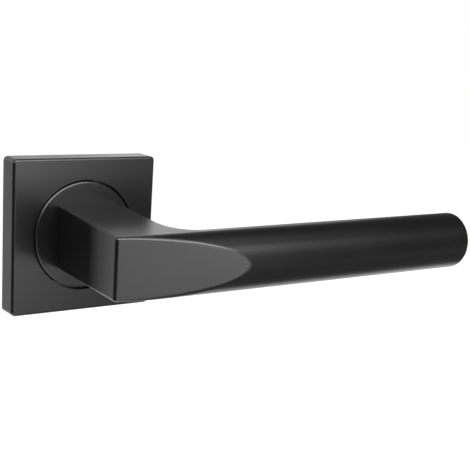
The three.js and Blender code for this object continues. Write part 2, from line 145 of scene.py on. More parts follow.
class HandleSizes(bpy.types.PropertyGroup):
    """Sizes of the fine work on the handle's pieces"""

    elbow_fillet: FloatProperty(
        name="Elbow fillet", default=0.9 * MM, unit="LENGTH",
        description="Rounding of the square elbow's edges")
    facet_fillet: FloatProperty(
        name="Facet fillet", default=0.8 * MM, unit="LENGTH",
        description="Rounding where the front facet runs out on the round grip")
    neck_fillet: FloatProperty(
        name="Neck fillet", default=0.45 * MM, unit="LENGTH",
        description="Rounding of the neck's long edges on the grip's side")
    cover_wall: FloatProperty(
        name="Cover wall", default=1.2 * MM, unit="LENGTH",
        description="Thickness of the rose cover's wall")
    cover_corner: FloatProperty(
        name="Cover corner", default=1.5 * MM, unit="LENGTH",
        description="Radius of the rose cover's four upright corners")
    cover_inside_corner: FloatProperty(
        name="Cover inside corner", default=0.4 * MM, unit="LENGTH",
        description="Radius of the four corners inside the rose cover")
    cover_hole_edge: FloatProperty(
        name="Cover hole edge", default=0.18 * MM, unit="LENGTH",
        description="Rounding of the rim of the cover's hole")
    notch_width: FloatProperty(
        name="Notch width", default=7 * MM, unit="LENGTH",
        description="Width of the notch by which the cover is levered off")
    notch_depth: FloatProperty(
        name="Notch depth", default=0.9 * MM, unit="LENGTH",
        description="Depth of that notch from the cover's back")
    cover_edge: FloatProperty(
        name="Cover edge", default=0.9 * MM, unit="LENGTH",
        description="Rounding round the rose cover's front")
    disc_seam: FloatProperty(
        name="Disc seam", default=0.35 * MM, unit="LENGTH",
        description="Open seam between the neck disc and the cover's hole")
    disc_edge: FloatProperty(
        name="Disc edge", default=0.8 * MM, unit="LENGTH",
        description="Rounding round the neck disc's front")
    machined_edge: FloatProperty(
        name="Machined edge", default=0.12 * MM, unit="LENGTH",
        description="Broken edge of cut and stamped pieces")
    stamped_edge: FloatProperty(
        name="Stamped edge", default=0.07 * MM, unit="LENGTH",
        description="Broken edge of the circlip")
    sheared_edge: FloatProperty(
        name="Sheared edge", default=0.06 * MM, unit="LENGTH",
        description="Broken edge of the cover's clips")
    spindle_end: FloatProperty(
        name="Spindle end", default=0.6 * MM, unit="LENGTH",
        description="Chamfer round the spindle's two ends")
    spindle_edge: FloatProperty(
        name="Spindle edge", default=0.3 * MM, unit="LENGTH",
        description="Rounding of the drawn bar's four long edges")
    sawn_edge: FloatProperty(
        name="Sawn edge", default=0.08 * MM, unit="LENGTH",
        description="Broken edge round the spindle's chamfers")
    wood_thread: FloatProperty(
        name="Wood screw pitch", default=1.6 * MM, unit="LENGTH",
        description="Thread pitch of the wood screws")
    metal_thread: FloatProperty(
        name="Machine screw pitch", default=0.7 * MM, unit="LENGTH",
        description="Thread pitch of the posts and the grub screw")
    spring_wire: FloatProperty(
        name="Spring wire", default=0.35 * MM, unit="LENGTH",
        description="Radius of the return springs' wire")
    spring_coils: IntProperty(
        name="Spring coils", default=12,
        description="Number of coils in each return spring")
    round_sides: IntProperty(
        name="Round sides", default=128,
        description="Sides of a turned piece")


class HandleFinishes(bpy.types.PropertyGroup):
    """Colours and gloss of the handle's finishes"""

    paint: FloatVectorProperty(
        name="Powder coat", default=linear("#0c0c0d"), size=4, min=0, max=1, subtype="COLOR",
        description="Colour of the lever, the rose cover and the neck disc")
    paint_roughness: FloatProperty(
        name="Powder coat roughness", default=0.32, min=0, max=1, subtype="FACTOR",
        description="From mirror gloss at 0 to dead matt at 1")
    casting: FloatVectorProperty(
        name="Bare casting", default=linear("#9c9ea0"), size=4, min=0, max=1, subtype="COLOR",
        description="Colour of the mounting plate's zinc alloy")
    plating: FloatVectorProperty(
        name="Zinc plate", default=linear("#bec4ca"), size=4, min=0, max=1, subtype="COLOR",
        description="Colour of the spindle, the cassette's steel and the screws")
    spring: FloatVectorProperty(
        name="Spring steel", default=linear("#626468"), size=4, min=0, max=1, subtype="COLOR",
        description="Colour of the springs and the cover's clips")
    oxide: FloatVectorProperty(
        name="Black oxide", default=linear("#26282c"), size=4, min=0, max=1, subtype="COLOR",
        description="Colour of the circlip and the grub screw")
    nylon: FloatVectorProperty(
        name="Nylon", default=linear("#e2decf"), size=4, min=0, max=1, subtype="COLOR",
        description="Colour of the bush and the thrust washer")


class HandleStudio(bpy.types.PropertyGroup):
    """Camera and light of the studio"""

    camera_place: FloatVectorProperty(
        name="Camera", default=(-0.16440, -0.31727, 0.07451), subtype="TRANSLATION",
        description="Where the camera stands")
    camera_target: FloatVectorProperty(
        name="Target", default=(0.04210, -0.03875, -0.02235), subtype="TRANSLATION",
        description="A point on the camera's axis")
    camera_roll: FloatProperty(
        name="Roll", default=math.radians(4.159), subtype="ANGLE",
        description="Turn of the camera about its own axis")
    camera_lens: FloatProperty(
        name="Lens", default=80.58, min=1,
        description="Focal length in millimetres on a sensor 36 mm wide")
    camera_rise: FloatProperty(
        name="Rise", default=0.15957,
        description="Vertical lens shift, as a share of the sensor")
    floor_drop: FloatProperty(
        name="Floor", default=0.3, unit="LENGTH",
        description="Height of the handle above the floor")


def sizes():
    return bpy.context.scene.handle_sizes


def finishes():
    return bpy.context.scene.handle_finishes


# ------------------------ modelling by hand

def deselect():
    bpy.ops.object.select_all(action="DESELECT")


def mode(name):
    bpy.ops.object.mode_set(mode=name)


def alone(piece):
    """Select one piece and make it active."""
    deselect()
    piece.select_set(True)
    bpy.context.view_layer.objects.active = piece


def placed(name):
    """Name the primitive just added and put its place into its mesh."""
    piece = bpy.context.object
    piece.name = name
    piece.data.name = name
    bpy.ops.object.transform_apply(location=True, rotation=True, scale=True)
    return piece


def block(name, corner, opposite):
    """A rectangular block between two opposite corners."""
    deselect()
    corner, opposite = Vector(corner), Vector(opposite)
    bpy.ops.mesh.primitive_cube_add(size=1, location=(corner + opposite) / 2)
    bpy.context.object.scale = opposite - corner
    return placed(name)


def bar(name, radius, start, end, sides, across=(0, 0)):
    """A round bar along Y from start to end, its axis at x and z given by across."""
    deselect()
    bpy.ops.mesh.primitive_cylinder_add(
        vertices=sides, radius=radius, depth=end - start, rotation=(math.pi / 2, 0, 0),
        location=(across[0], (start + end) / 2, across[1]))
    return placed(name)


def merge_points():
    """In edit mode, select all and make one of vertices that lie on each other."""
    bpy.ops.mesh.select_all(action="SELECT")
    bpy.ops.mesh.remove_doubles(threshold=ONE_POINT)


def copy_of(node, name):
    """A merged copy of a CAD node, with its flat faces whole again."""
    piece = bpy.data.objects.new(name, CAD_NODES[node].data.copy())
    piece.data.name = name
    piece.data.materials.clear()
    bpy.context.scene.collection.objects.link(piece)
    alone(piece)
    mode("EDIT")
    merge_points()
    bpy.ops.mesh.dissolve_limited(angle_limit=ONE_FACE)
    mode("OBJECT")
    return piece


def pick(piece, kind, test):
    """In edit mode, select the edges or faces that pass a test, and nothing else."""
    bpy.ops.mesh.select_mode(type=kind)
    bpy.ops.mesh.select_all(action="DESELECT")
    mesh = bmesh.from_edit_mesh(piece.data)
    for part in mesh.faces if kind == "FACE" else mesh.edges:
        if test(part):
            part.select_set(True)
    bmesh.update_edit_mesh(piece.data)


def bevel_edges(piece, test, width, segments, clamp=True):
    """Round the edges that pass a test."""
    alone(piece)
    mode("EDIT")
    pick(piece, "EDGE", test)
    bpy.ops.mesh.bevel(offset=width, segments=segments, profile=0.5, affect="EDGES",
                       clamp_overlap=clamp, loop_slide=False)
    mode("OBJECT")


def corner_of(edge):
    """The angle between the two faces at an edge."""
    return edge.calc_face_angle(0) if len(edge.link_faces) == 2 else 0


def sharp(edge):
    return corner_of(edge) > math.radians(35)


def square(edge):
    return corner_of(edge) > math.radians(60)


def edge_middle(edge):
    return (edge.verts[0].co + edge.verts[1].co) / 2


def along_y(edge):
    return abs((edge.verts[1].co - edge.verts[0].co).normalized().y) > 0.9


def front_edge(edge):
    """Whether a sharp edge lies in the plane of the rose's front."""
    return sharp(edge) and edge_middle(edge).y < ROSE_FRONT + 0.1 * MM


def modify(piece, kind, **settings):
    """Add a modifier with its settings and apply it."""
    alone(piece)
    modifier = piece.modifiers.new(kind.title(), kind)
    for name, value in settings.items():
        setattr(modifier, name, value)
    bpy.ops.object.modifier_apply(modifier=modifier.name)


def combine(piece, tool, operation):
    """Join or cut with a tool, which is used up."""
    modify(piece, "BOOLEAN", operation=operation, solver="EXACT", object=tool)
    bpy.data.objects.remove(tool)


def cut(piece, *tools):
    for tool in tools:
        combine(piece, tool, "DIFFERENCE")


def weld(piece, *tools):
    for tool in tools:
        combine(piece, tool, "UNION")


def shade(piece, angle=math.radians(30)):
    """Shade smooth over rounded edges, with flat faces kept flat."""
    alone(piece)
    bpy.ops.object.shade_smooth_by_angle(angle=angle)
    modify(piece, "WEIGHTED_NORMAL", keep_sharp=True)


def drawn(points, closed=True):
    """A line of edges through (radius, y) points, left in edit mode."""
    deselect()
    bpy.ops.mesh.primitive_circle_add(vertices=len(points), radius=1)
    piece = bpy.context.object
    mode("EDIT")
    mesh = bmesh.from_edit_mesh(piece.data)
    mesh.verts.ensure_lookup_table()
    for vertex, (radius, y) in zip(mesh.verts, points):
        vertex.co = (radius, y, 0)
    if not closed:
        mesh.edges.remove(mesh.edges.get((mesh.verts[0], mesh.verts[-1])))
    bmesh.update_edit_mesh(piece.data)
    return piece


def turned(name, points, sides):
    """Spin a closed profile of (radius, y) points round the Y axis."""
    piece = drawn(points)
    bpy.ops.mesh.select_all(action="SELECT")
    bpy.ops.mesh.spin(steps=sides, angle=math.tau, center=(0, 0, 0), axis=(0, 1, 0))
    merge_points()
    bpy.ops.mesh.dissolve_degenerate(threshold=ONE_POINT)
    bpy.ops.mesh.normals_make_consistent(inside=False)
    mode("OBJECT")
    return placed(name)


def duplicate(piece, name, move):
    """A copy with its own mesh, moved or turned by a matrix."""
    twin = bpy.data.objects.new(name, piece.data.copy())
    twin.data.name = name
    twin.data.transform(move)
    bpy.context.scene.collection.objects.link(twin)
    return twin


def scatter(first, nodes, body, finish):
    """Install a piece on its own node and a moved copy of it on each of the others."""
    start = middle(nodes[0])
    copies = [first] + [
        duplicate(first, first.name[:-1] + str(number),
                  Matrix.Translation(middle(node) - start))
        for number, node in enumerate(nodes[1:], 2)
    ]
    for piece, node in zip(copies, nodes):
        install(piece, body, node, finish)


def threaded_rod(name, outer, depth, pitch, start, end, sides, across=(0, 0)):
    """A rod along Y with a cut thread, trimmed square at both ends."""
    turns = math.ceil((end - start) / pitch) + 2
    lead = 1.37  # pitches before the start, so that no vertex lies on the trimming plane
    # one turn: share of the pitch along the axis, and 0 at the root and 1 at the crest
    flank = ((0, 0), (0.28, 0), (0.5, 1), (0.62, 1), (0.9, 0), (1, 0))
    rod = drawn([(outer - depth * (1 - up), start + (along - lead) * pitch)
                 for along, up in flank], closed=False)
    mode("OBJECT")
    modify(rod, "SCREW", axis="Y", screw_offset=pitch, iterations=turns, steps=sides,
           render_steps=sides)
    mode("EDIT")
    merge_points()
    for place, outward in ((start, -1), (end, 1)):
        bpy.ops.mesh.select_all(action="SELECT")
        bpy.ops.mesh.bisect(plane_co=(0, place, 0), plane_no=(0, outward, 0),
                            use_fill=True, clear_outer=True, threshold=ON_PLANE)
    bpy.ops.mesh.select_all(action="SELECT")
    bpy.ops.mesh.normals_make_consistent(inside=False)
    mode("OBJECT")
    rod.location = (across[0], 0, across[1])
    return placed(name)


def countersunk(name, radius, shank, face, into, across):
    """A countersunk head along Y: its flat face at y = face, its cone going into."""
    cone = radius - shank
    deselect()
    bpy.ops.mesh.primitive_cone_add(
        vertices=48, radius1=radius, radius2=shank, depth=cone,
        rotation=(-math.pi / 2 * into, 0, 0),
        location=(across[0], face + into * cone / 2, across[1]))
    return placed(name)


def cross_recess(width, slot, depth, face, into, across):
    """A cutter for a cross recess, narrower at its floor."""
    taper = 0.55  # size of the recess at its floor, as a share of its size at the face
    x, z = across
    arms = []
    for half_x, half_z in ((width / 2, slot / 2), (slot / 2, width / 2)):
        arm = block("recess", (x - half_x, face - depth, z - half_z),
                    (x + half_x, face + depth, z + half_z))
        mode("EDIT")
        pick(arm, "FACE", lambda side: side.normal.y * into > 0.9)
        bpy.ops.transform.resize(value=(taper, 1, taper))
        mode("OBJECT")
        arms.append(arm)
    weld(arms[0], arms[1])
    return arms[0]


def install(piece, body, node, finish):
    """Put a finished piece on its body in place of its CAD node."""
    if body:
        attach(piece, body)
    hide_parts(node)
    piece.data.materials.clear()
    piece.data.materials.append(finish())


# ------------------------ finishes

def add_node(tree, kind, inputs=None, **settings):
    """Add one shader node with its settings; an input is a value or another node's socket."""
    node = tree.nodes.new(kind)
    for name, value in settings.items():
        setattr(node, name, value)
    for name, value in (inputs or {}).items():
        if isinstance(value, bpy.types.NodeSocket):
            tree.links.new(value, node.inputs[name])
        else:
            node.inputs[name].default_value = value
    return node


def finish_tree(name):
    """A material and its emptied node tree, or None for the tree of one made before."""
    if name in bpy.data.materials:
        return bpy.data.materials[name], None
    material = bpy.data.materials.new(name)
    material.use_nodes = True
    material.node_tree.nodes.clear()
    return material, material.node_tree


def varied(tree, colour, spread, pattern):
    """A colour that runs from a share darker to the same share lighter along a pattern."""
    tones = add_node(tree, "ShaderNodeValToRGB", {"Fac": pattern})
    for element, place, share in zip(
            tones.color_ramp.elements, (0.3, 0.7), (1 - spread, 1 + spread)):
        element.position = place
        element.color = (*(part * share for part in colour[:3]), 1)
    return tones.outputs["Color"]


def varied_roughness(tree, usual, spread, pattern):
    """A roughness that varies by a spread either way along a pattern."""
    return add_node(tree, "ShaderNodeMapRange", {
        "Value": pattern, "To Min": usual - spread,
        "To Max": usual + spread}).outputs["Result"]


def black_powder_coat():
    """Satin black polyester powder, sprayed dry and stoved on the zinc alloy castings.

    The cured skin is nearly black and levels out almost smooth: a soft, wide gloss with a
    very shallow orange peel of about 1.5 mm waves, and slightly duller here and there.
    """
    material, tree = finish_tree("satin_black_powder_coat")
    if tree:
        place = add_node(tree, "ShaderNodeTexCoord").outputs["Object"]
        peel = add_node(tree, "ShaderNodeTexNoise", {
            "Vector": place, "Scale": 1 / (1.5 * MM), "Detail": 1.5, "Roughness": 0.4})
        clouds = add_node(tree, "ShaderNodeTexNoise", {
            "Vector": place, "Scale": 1 / (14 * MM), "Detail": 3, "Roughness": 0.55})
        bump = add_node(tree, "ShaderNodeBump", {
            "Height": peel.outputs["Fac"], "Strength": 0.12, "Distance": 0.01 * MM})
        shader = add_node(tree, "ShaderNodeBsdfPrincipled", {
            "Base Color": varied(tree, finishes().paint, 0.12, clouds.outputs["Fac"]),
            "Roughness": varied_roughness(
                tree, finishes().paint_roughness, 0.03, clouds.outputs["Fac"]),
            "IOR": 1.65, "Normal": bump.outputs["Normal"]})
        add_node(tree, "ShaderNodeOutputMaterial", {"Surface": shader.outputs["BSDF"]})
    return material


def metal_finish(name, colour, spread, roughness, grain):
    """A bare or plated metal whose tone and gloss vary a little with one grain, in mm."""
    material, tree = finish_tree(name)
    if tree:
        place = add_node(tree, "ShaderNodeTexCoord").outputs["Object"]
        noise = add_node(tree, "ShaderNodeTexNoise", {
            "Vector": place, "Scale": 1 / (grain * MM), "Detail": 2, "Roughness": 0.5})
        bump = add_node(tree, "ShaderNodeBump", {
            "Height": noise.outputs["Fac"], "Strength": 0.3, "Distance": 0.002 * MM})
        shader = add_node(tree, "ShaderNodeBsdfPrincipled", {
            "Base Color": varied(tree, colour, spread, noise.outputs["Fac"]),
            "Roughness": varied_roughness(tree, roughness, 0.04, noise.outputs["Fac"]),
            "Metallic": 1.0, "Normal": bump.outputs["Normal"]})
        add_node(tree, "ShaderNodeOutputMaterial", {"Surface": shader.outputs["BSDF"]})
    return material


def die_cast_zinc():
    """Zinc alloy as it leaves the die: dull grey, with the cloudy flow marks of the fill."""
    return metal_finish("as_cast_zinc_alloy", finishes().casting,
                        spread=0.09, roughness=0.5, grain=2.2)


def zinc_plate():
    """Bright zinc plate with a thin blue passivate: pale, cool and a little cloudy."""
    return metal_finish("blue_passivated_zinc_plate", finishes().plating,
                        spread=0.04, roughness=0.3, grain=2.5)


def spring_wire():
    """Oiled spring steel, drawn or rolled: an even dark grey, a little darker in patches."""
    return metal_finish("oiled_spring_steel", finishes().spring,
                        spread=0.12, roughness=0.32, grain=0.8)


def black_oxide():
    """Hardened steel blackened in a hot salt bath: a thin, even blue-black skin."""
    return metal_finish("black_oxide_steel", finishes().oxide,
                        spread=0.14, roughness=0.36, grain=0.8)


def natural_nylon():
    """Natural nylon, injection moulded: milky off-white with a soft waxy gloss."""
    material, tree = finish_tree("natural_nylon")
    if tree:
        place = add_node(tree, "ShaderNodeTexCoord").outputs["Object"]
        flow = add_node(tree, "ShaderNodeTexNoise", {
            "Vector": place, "Scale": 1 / (4.5 * MM), "Detail": 2})
        bump = add_node(tree, "ShaderNodeBump", {
            "Height": flow.outputs["Fac"], "Strength": 0.2, "Distance": 0.01 * MM})
        shader = add_node(tree, "ShaderNodeBsdfPrincipled", {
            "Base Color": varied(tree, finishes().nylon, 0.05, flow.outputs["Fac"]),
            "Roughness": 0.42, "IOR": 1.53,
            "Subsurface Weight": 0.15, "Subsurface Scale": 1 * MM,
            "Normal": bump.outputs["Normal"]})
        add_node(tree, "ShaderNodeOutputMaterial", {"Surface": shader.outputs["BSDF"]})
    return material


# ------------------------ pieces

def come_from(start, value, end):
    """How far a value has come from start to end, held between 0 and 1."""
    return max(0, min(1, (value - start) / (end - start)))


def weigh_lever_edges(lever, size):
    """Give each edge of the casting that is filleted its share of the elbow's fillet."""
    flowing, creased = math.radians(11), math.radians(25)
    root = ROSE_FRONT - 0.4 * MM
    mesh = bmesh.new()
    mesh.from_mesh(lever.data)
    weight = mesh.edges.layers.float.new("bevel_weight_edge")
    outward = [face for face in mesh.faces
               if face.normal.y < -0.9 and face.calc_center_median().y < 3 * ROSE_FRONT]
    facet = max(outward, key=lambda face: face.calc_area()).normal.copy()
    elbow_half = max(abs(vertex.co.z) for face in outward for vertex in face.verts)
    for edge in mesh.edges:
        angle = corner_of(edge)
        at = edge_middle(edge)
        if at.y > root or angle < flowing:
            continue
        if any(face.normal.dot(facet) > 0.99999 for face in edge.link_faces):
            # square at the elbow, and flatter and flatter as the facet runs out on the grip
            squareness = come_from(math.radians(40), angle, math.radians(80))
            width = size.facet_fillet + (size.elbow_fillet - size.facet_fillet) * squareness
            edge[weight] = width / size.elbow_fillet
        elif angle > creased and abs(at.z) > 0.6 * elbow_half and edge.is_convex:
            # the long edges of the neck's flats
            width = size.elbow_fillet if at.x < 0 else size.neck_fillet
            fade = come_from(math.radians(15), angle, math.radians(75))
            edge[weight] = width * fade / size.elbow_fillet
    mesh.to_mesh(lever.data)
    mesh.free()


class HANDLE_OT_lever(bpy.types.Operator):
    """Finish the lever casting: fillets on its elbow, facet and neck"""

    bl_idname = "handle.lever"
    bl_label = "Lever casting"

    def execute(self, context):
        lever = copy_of("lever", "lever_casting")
        size = sizes()
        weigh_lever_edges(lever, size)
        modify(lever, "BEVEL", width=size.elbow_fillet, segments=5, limit_method="WEIGHT",
               loop_slide=False, use_clamp_overlap=False)
        shade(lever, angle=math.radians(32))
        install(lever, "lever", "lever", black_powder_coat)
        return {"FINISHED"}


class HANDLE_OT_rose_cover(bpy.types.Operator):
    """Model the square rose cover: a pressed shell with a round hole and a removal notch"""

    bl_idname = "handle.rose_cover"
    bl_label = "Rose cover"

    def execute(self, context):
        size = sizes()
        half, wall = ROSE_HALF, size.cover_wall
        cover = block("rose_cover_shell", (-half, ROSE_FRONT, -half), (half, 0, half))
        bevel_edges(cover, along_y, size.cover_corner, segments=8)
        bevel_edges(cover, front_edge, size.cover_edge, segments=5)
        inside = block("inside", (-half + wall, ROSE_FRONT + wall, -half + wall),
                       (half - wall, wall, half - wall))
        bevel_edges(inside, along_y, size.cover_inside_corner, segments=4)
        hole_radius = DISC_RADIUS + size.disc_seam
        hole = bar("hole", hole_radius, ROSE_FRONT - wall, wall, size.round_sides)
        notch_half, through = size.notch_width / 2, wall * 1.1
        notch = block("notch", (-notch_half, -size.notch_depth, -half - wall),
                      (notch_half, wall, -half + through))
        cut(cover, inside, hole, notch)
        rim = size.cover_hole_edge
        bevel_edges(
            cover,
            lambda edge: sharp(edge) and abs(edge_middle(edge).y - ROSE_FRONT) < rim / 2
            and abs(edge_middle(edge).xz.length - hole_radius) < rim,
            rim, segments=3)
        shade(cover)
        install(cover, "rose", "rose_cover", black_powder_coat)
        return {"FINISHED"}


class HANDLE_OT_neck_disc(bpy.types.Operator):
    """Model the disc that turns with the lever, flush in the rose cover"""

    bl_idname = "handle.neck_disc"
    bl_label = "Neck disc"

    def execute(self, context):
        size = sizes()
        disc = bar("neck_disc_turned", DISC_RADIUS, ROSE_FRONT, DISC_BACK, size.round_sides)
        bevel_edges(disc, front_edge, size.disc_edge, segments=6)
        key = block("key", (-KEY_HALF, ROSE_FRONT - MM, -KEY_HALF),
                    (KEY_HALF, DISC_BACK + MM, KEY_HALF))
        bevel_edges(key, along_y, KEY_CORNER, segments=5)
        cut(disc, key)
        shade(disc)
        install(disc, "lever", "neck_disc", black_powder_coat)
        return {"FINISHED"}


class HANDLE_OT_mounting_plate(bpy.types.Operator):
    """Finish the die-cast mounting plate: broken edges and threaded posts"""

    bl_idname = "handle.mounting_plate"
    bl_label = "Mounting plate"

    def execute(self, context):
        size = sizes()
        plate = copy_of("mounting_plate", "mounting_plate_casting")
        bevel_edges(plate, lambda edge: square(edge) and edge.is_convex
                    and edge.calc_length() > 3 * size.machined_edge,
                    size.machined_edge, segments=2, clamp=False)
        post_end = high("mounting_plate").y
        for offset in (-POST_OFFSET, POST_OFFSET):
            tap = threaded_rod("tap", outer=TAP_RADIUS, depth=0.34 * MM,
                               pitch=size.metal_thread, start=TAP_BOTTOM, end=post_end + MM,
                               sides=24, across=(offset, 0))
            cut(plate, tap)
        shade(plate)
        install(plate, "rose", "mounting_plate", die_cast_zinc)
        return {"FINISHED"}


class HANDLE_OT_nylon_bearings(bpy.types.Operator):
    """Turn the flanged bush in front of the cassette and the washer behind it"""

    bl_idname = "handle.nylon_bearings"
    bl_label = "Nylon bearings"

    def execute(self, context):
        size = sizes()
        front, back = low("bearing_bush").y, high("bearing_bush").y
        flange, bore = radius_of("bearing_bush"), SPIGOT_BORE
        sleeve, step = bore + BUSH_WALL, front + BUSH_FLANGE
        bush = turned("bearing_bush_moulding", [
            (bore, front), (flange, front), (flange, step), (sleeve, step),
            (sleeve, back), (bore, back)], size.round_sides)
        front, back = low("thrust_washer").y, high("thrust_washer").y
        rim = radius_of("thrust_washer")
        washer = turned("thrust_washer_moulding", [
            (bore, front), (rim, front), (rim, back), (bore, back)], size.round_sides)
        for piece, node in ((bush, "bearing_bush"), (washer, "thrust_washer")):
            bevel_edges(piece, lambda edge: sharp(edge) and edge.is_convex,
                        size.machined_edge, segments=3)
            shade(piece)
            install(piece, "rose", node, natural_nylon)
        return {"FINISHED"}


class HANDLE_OT_cassette(bpy.types.Operator):
    """Finish the spring follower and the lid that closes the spring cassette"""

    bl_idname = "handle.cassette"
    bl_label = "Spring cassette"

    def execute(self, context):
        size = sizes()
        follower = copy_of("spring_follower", "spring_follower_stamping")
        lid_low, lid_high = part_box("cassette_lid")
        lid = block("cassette_lid_stamping", lid_low, lid_high)
        bevel_edges(lid, along_y, LID_CORNER, segments=10)
        cut(lid, bar("bore", SPIGOT_BORE, lid_low.y - MM, lid_high.y + MM, size.round_sides))
        for number in range(1, 5):
            screw = middle(f"lid_screw_{number}")
            head = radius_of(f"lid_screw_{number}") + SEAT_GAP
            seat = countersunk("seat", radius=head + MM, shank=0.3 * MM,
                               face=lid_high.y + SEAT_REACH, into=-1,
                               across=(screw.x, screw.z))
            cut(lid, seat)
        for piece, node, body in ((follower, "spring_follower", "lever"),
                                  (lid, "cassette_lid", "rose")):
            bevel_edges(piece, lambda edge: square(edge) and edge.is_convex,
                        size.machined_edge, segments=2, clamp=False)
            shade(piece)
            install(piece, body, node, zinc_plate)
        return {"FINISHED"}


def arc_point(angle, radius=SPRING_BEND, y=None):
    """A point on the springs' curved channel."""
    if y is None:
        y = middle("return_spring_upper").y
    return (radius * math.cos(angle), y, radius * math.sin(angle))


def wound_spring(name, half_turn):
    """One coil spring along the channel, with a closed coil at each end."""
    size = sizes()
    wire, coils = size.spring_wire, size.spring_coils
    steps = 28  # points in a coil
    end_gap = (wire + SPRING_END_GAP) / SPRING_BEND
    first = SPRING_ARM - end_gap
    sweep = SPRING_ARM - SPRING_SEAT - 2 * end_gap
    closed = CLOSED_COIL * wire / SPRING_BEND
    open_coil = (sweep - 2 * closed) / (coils - 2)
    channel_y = middle("return_spring_upper").y
    curve = bpy.data.curves.new(name, "CURVE")
    curve.dimensions = "3D"
    curve.bevel_depth = wire
    curve.bevel_resolution = 3
    curve.use_fill_caps = True
    line = curve.splines.new("POLY")
    line.points.add(coils * steps)
    for number, point in enumerate(line.points):
        turns = number / steps
        shut = min(turns, 1) + max(turns - coils + 1, 0)
        angle = first - shut * closed - (turns - shut) * open_coil + half_turn
        phase = turns * math.tau
        radius = SPRING_BEND + COIL_RADIUS * math.cos(phase)
        place = arc_point(angle, radius, channel_y + COIL_RADIUS * math.sin(phase))
        point.co = (*place, 1)
    spring = bpy.data.objects.new(name, curve)
    bpy.context.scene.collection.objects.link(spring)
    alone(spring)
    bpy.ops.object.convert(target="MESH")
    spring = bpy.context.object
    mode("EDIT")
    merge_points()
    bpy.ops.mesh.normals_make_consistent(inside=False)
    mode("OBJECT")
    return spring


class HANDLE_OT_return_springs(bpy.types.Operator):
    """Wind the two return springs that lie in the cassette's curved channels"""

    bl_idname = "handle.return_springs"
    bl_label = "Return springs"

    def execute(self, context):
        for node, half_turn in (("return_spring_upper", 0), ("return_spring_lower", math.pi)):
            spring = wound_spring(f"{node}_wire", half_turn)
            shade(spring)
            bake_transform(spring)
            install(spring, None, node, spring_wire)
        return {"FINISHED"}


class HANDLE_OT_lid_screws(bpy.types.Operator):
    """Make the four cross-recessed screws that hold the cassette's lid"""

    bl_idname = "handle.lid_screws"
    bl_label = "Lid screws"

    def execute(self, context):
        nodes = [f"lid_screw_{number}" for number in range(1, 5)]
        start, face = low(nodes[0]).y, high(nodes[0]).y
        across = (middle(nodes[0]).x, middle(nodes[0]).z)
        head, shank = radius_of(nodes[0]), 1.15 * MM
        screw = countersunk("lid_screw_steel_1", head, shank, face, -1, across)
        sunk_end = 0.9 * (head - shank)  # the thread's end, inside the head's cone
        thread = threaded_rod("thread", outer=shank, depth=0.22 * MM, pitch=0.5 * MM,
                              start=start, end=face - sunk_end, sides=20, across=across)
        weld(screw, thread)
        cut(screw, cross_recess(width=2.3 * MM, slot=0.62 * MM, depth=1.0 * MM, face=face,
                                into=-1, across=across))
        shade(screw)
        scatter(screw, nodes, "rose", zinc_plate)
        return {"FINISHED"}


class HANDLE_OT_wood_screws(bpy.types.Operator):
    """Make the four wood screws, with a coarse thread and a gimlet point"""

    bl_idname = "handle.wood_screws"
    bl_label = "Wood screws"

    def execute(self, context):
        size = sizes()
        nodes = [f"wood_screw_{number}" for number in range(1, 5)]
        face, tip = low(nodes[0]).y, high(nodes[0]).y
        across = (middle(nodes[0]).x, middle(nodes[0]).z)
        head, shank = radius_of(nodes[0]), 1.75 * MM
        neck = face + (head - shank)
        sunk_end = 0.3 * MM  # the thread's end, inside the head's cone
        thread = threaded_rod("thread", outer=shank, depth=0.5 * MM, pitch=size.wood_thread,
                              start=neck - sunk_end, end=tip, sides=28, across=across)
        point, blunt = 3.5 * MM, 0.06  # length of the point, share of the shank at its tip
        axis = Vector((across[0], 0, across[1]))
        for vertex in thread.data.vertices:
            share = (tip - vertex.co.y) / point
            if share < 1:
                spot = axis + Vector((0, vertex.co.y, 0))
                vertex.co = spot + (vertex.co - spot) * max(blunt, share)
        screw = countersunk("wood_screw_steel_1", head, shank, face, 1, across)
        weld(screw, thread)
        cut(screw, cross_recess(width=3.7 * MM, slot=0.95 * MM, depth=1.7 * MM, face=face,
                                into=1, across=across))
        shade(screw)
        scatter(screw, nodes, "rose", zinc_plate)
        return {"FINISHED"}


class HANDLE_OT_cover_clips(bpy.types.Operator):
    """Bow the four spring leaves that hold the rose cover on the plate"""

    bl_idname = "handle.cover_clips"
    bl_label = "Cover clips"

    def execute(self, context):
        corner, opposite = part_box("cover_clip_1")
        crown, length = opposite.x, opposite.z - corner.z
        half_span = (opposite.y - corner.y) / 2
        bend = (half_span ** 2 + CLIP_BOW ** 2) / (2 * CLIP_BOW)
        spread = math.asin(half_span / bend)
        deselect()
        bpy.ops.mesh.primitive_grid_add(x_subdivisions=16, y_subdivisions=6, size=1)
        leaf = bpy.context.object
        for vertex in leaf.data.vertices:
            turn = vertex.co.x * 2 * spread
            vertex.co = (crown - bend + bend * math.cos(turn),
                         middle("cover_clip_1").y + bend * math.sin(turn),
                         vertex.co.y * length)
        clip = placed("cover_clip_leaf_1")
        inward = 1 if clip.data.polygons[0].normal.x < 0 else -1
        modify(clip, "SOLIDIFY", thickness=CLIP_THICK, offset=inward)
        bevel_edges(clip, sharp, sizes().sheared_edge, segments=2)
        shade(clip)
        clips = [clip] + [
            duplicate(clip, f"cover_clip_leaf_{number}",
                      Matrix.Rotation((number - 1) * math.pi / 2, 4, "Y"))
            for number in range(2, 5)
        ]
        for number, piece in enumerate(clips, 1):
            install(piece, "rose", f"cover_clip_{number}", spring_wire)
        return {"FINISHED"}


class HANDLE_OT_circlip(bpy.types.Operator):
    """Finish the circlip that keeps the lever on the rose"""

    bl_idname = "handle.circlip"
    bl_label = "Circlip"

    def execute(self, context):
        ring = copy_of("circlip", "circlip_stamping")
        bevel_edges(ring, square, sizes().stamped_edge, segments=2, clamp=False)
        shade(ring)
        install(ring, "lever", "circlip", black_oxide)
        return {"FINISHED"}


